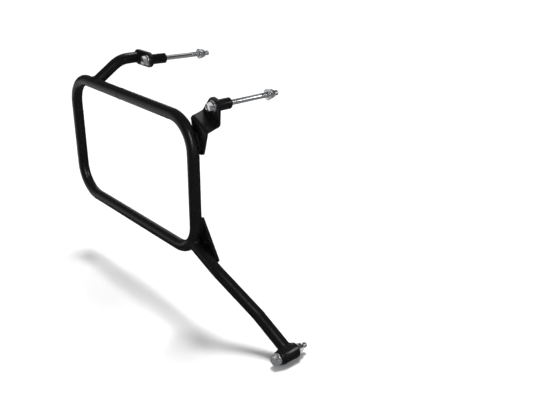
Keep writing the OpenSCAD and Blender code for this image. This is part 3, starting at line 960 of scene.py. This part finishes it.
# Lamps that light some pieces only, which are known by how their names end
PIECE_SOFTBOXES = {
    "round": (("front_spacer_coated", "main_loop", "front_bolt_plated"), {
        "side_softbox": {
            "radiance": 8, "size": (0.4, 0.4), "way": (1.066, -1.13, 0.8), "distance": 1.76},
    }),
    "sleeve": (("lower_sleeve_coated", "lower_bolt_plated"), {
        "sleeve_softbox": {
            "radiance": 5, "size": (0.75, 0.5), "way": (0.885, -1.125, 0.867), "distance": 1.67},
    }),
    "sheet": (("front_bracket_coated", "gusset_coated", "rear_lug_coated"), {
        "sheet_softbox": {
            "radiance": 0.75, "size": (1.7, 1.5), "way": (0.62, 0.2, 0.77), "distance": 1.5},
    }),
    "low_nut": (("lower_lock_nut_plated", "lower_nut_washer_plated"), {
        "nut_under": {
            "radiance": 0.5, "size": (2, 2), "place": (0.3, 0, FLOOR_Z + 3 * MM)},
        "nut_softbox": {
            "radiance": 2, "size": (0.8, 0.5), "way": (0.6, 0.25, 0.45), "distance": 1.5},
    }),
    "arm": (("rear_arm",), {
        "arm_softbox": {
            "radiance": 4, "size": (0.5, 0.5), "way": (0.5, 0.3, 0.8), "distance": 1.5},
    }),
    "plated": (("_plated",), {
        "plate_under": {
            "radiance": 0.2, "size": (3, 3), "place": (0.3, 0, FLOOR_Z + 2 * MM)},
        "plate_over": {
            "radiance": 0.8, "size": (1.6, 1.6), "way": (0.15, 0.1, 1), "distance": 1.5},
        "plate_left": {
            "radiance": 0.4, "size": (1.6, 1.2), "way": (-1, 0.5, 0), "distance": 1.5},
        "plate_front": {
            "radiance": 0.16, "size": (1.4, 0.9), "way": (-0.3, -1, 0.2), "distance": 1.5},
    }),
}


def add_lamp(kind, name, place, way):
    """Adds a lamp that shines from its way towards the object."""
    deselect()
    bpy.ops.object.light_add(type=kind, location=place)
    lamp = bpy.context.object
    lamp.name = name
    lamp.rotation_euler = way.to_track_quat("Z", "Y").to_euler()
    return lamp


def softbox(name, radiance, size, way=(0, 0, -1), distance=0.0, place=None):
    """A lit rectangle that shows the same brightness at any size. It faces the stage's middle from
    a distance, or lies at a place and faces up."""
    way = Vector(way).normalized()
    if place is None:
        place = Vector(settings("stage").middle) + distance * way
    lamp = add_lamp("AREA", name, place, way)
    lamp.data.shape = "RECTANGLE"
    lamp.data.size, lamp.data.size_y = size
    lamp.data.energy = radiance * math.pi * size[0] * size[1]
    lamp.visible_camera = False
    return lamp


def daylight(name, way, spread, strength):
    """Light from far away for the floor and the shadows, without a glint of its own."""
    lamp = add_lamp("SUN", name, way, Vector(way))
    lamp.data.angle = math.radians(spread)
    lamp.data.energy = strength
    lamp.visible_glossy = False


def for_pieces(name, endings, lamps):
    """Lets lamps light only the pieces whose names end so, to place the highlights of each."""
    group = bpy.data.collections.new(name)
    for piece in bpy.context.scene.objects:
        if piece.name.endswith(endings):
            group.objects.link(piece)
    for lamp in lamps:
        lamp.light_linking.receiver_collection = group


def lay_floor():
    """A wide white floor under the object, which the object's gloss doesn't mirror."""
    deselect()
    bpy.ops.mesh.primitive_plane_add(size=settings("stage").floor_w, location=(0, 0, FLOOR_Z))
    floor = bpy.context.object
    floor.name = "studio_floor"
    bpy.ops.object.transform_apply(location=True, rotation=True, scale=True)
    floor.data.materials.append(floor_paint())
    floor.visible_glossy = False


def hang_lamps():
    """Adds the lamps in the order of their tables."""
    for name, lamp in DAYLIGHT.items():
        daylight(name, **lamp)
    for name, lamp in SOFTBOXES.items():
        softbox(name, **lamp)
    for group, (endings, lamps) in PIECE_SOFTBOXES.items():
        for_pieces(group, endings, [softbox(name, **lamp) for name, lamp in lamps.items()])


def fill_air(scene):
    """Faint even light from all round."""
    world = bpy.data.worlds.new("studio_air")
    world.use_nodes = True
    air = world.node_tree.nodes["Background"]
    air.inputs["Color"].default_value = (1, 1, 1, 1)
    air.inputs["Strength"].default_value = AIR_STRENGTH
    scene.world = world


def place_camera(scene):
    """Adds the camera where the photograph was taken from."""
    stage = settings("stage")
    bpy.ops.object.camera_add(location=stage.place)
    camera = bpy.context.object
    camera.name = "photo_camera"
    turn = Matrix.Rotation(stage.azimuth, 4, "Z")
    tip = Matrix.Rotation(math.pi / 2 - stage.elevation, 4, "X")
    roll = Matrix.Rotation(stage.roll, 4, "Z")
    camera.matrix_world = Matrix.Translation(stage.place) @ turn @ tip @ roll
    camera.data.sensor_width = SENSOR_W
    camera.data.sensor_fit = "HORIZONTAL"
    camera.data.lens = stage.lens
    camera.data.clip_end = FAR_CLIP
    scene.camera = camera


class PANNIER_OT_stage(bpy.types.Operator):
    """Set the floor, the lights and the camera"""
    bl_idname = "pannier.stage"
    bl_label = "Stage"

    def execute(self, context):
        lay_floor()
        hang_lamps()
        fill_air(context.scene)
        context.scene.view_settings.view_transform = "Standard"
        place_camera(context.scene)
        return {"FINISHED"}


OPERATORS = (PANNIER_OT_tubes, PANNIER_OT_sheet_steel, PANNIER_OT_turned_steel, PANNIER_OT_welds,
             PANNIER_OT_butt_weld, PANNIER_OT_bolts, PANNIER_OT_washers, PANNIER_OT_lock_nuts,
             PANNIER_OT_stage)


class PANNIER_PT_sidebar(bpy.types.Panel):
    """Lists the pieces of the pannier frame"""
    bl_idname = "PANNIER_PT_sidebar"
    bl_label = "Pannier Frame"
    bl_space_type = "VIEW_3D"
    bl_region_type = "UI"
    bl_category = "Pannier Frame"

    def draw(self, context):
        for operator in OPERATORS:
            self.layout.operator(operator.bl_idname, text=operator.bl_label)
        for group, kind in GROUPS.items():
            box = self.layout.box()
            box.label(text=group.capitalize())
            for key in kind.__annotations__:
                box.prop(settings(group), key)


CLASSES = (*GROUPS.values(), *OPERATORS, PANNIER_PT_sidebar)


def register():
    for cls in CLASSES:
        bpy.utils.register_class(cls)
    for group, kind in GROUPS.items():
        setattr(bpy.types.Scene, "pannier_" + group, PointerProperty(type=kind))


def unregister():
    for group in GROUPS:
        delattr(bpy.types.Scene, "pannier_" + group)
    for cls in reversed(CLASSES):
        bpy.utils.unregister_class(cls)


def main():
    register()
    mix_paints()
    for operator in OPERATORS:
        section, name = operator.bl_idname.split(".")
        getattr(getattr(bpy.ops, section), name)()


if __name__ == "__main__":
    main()
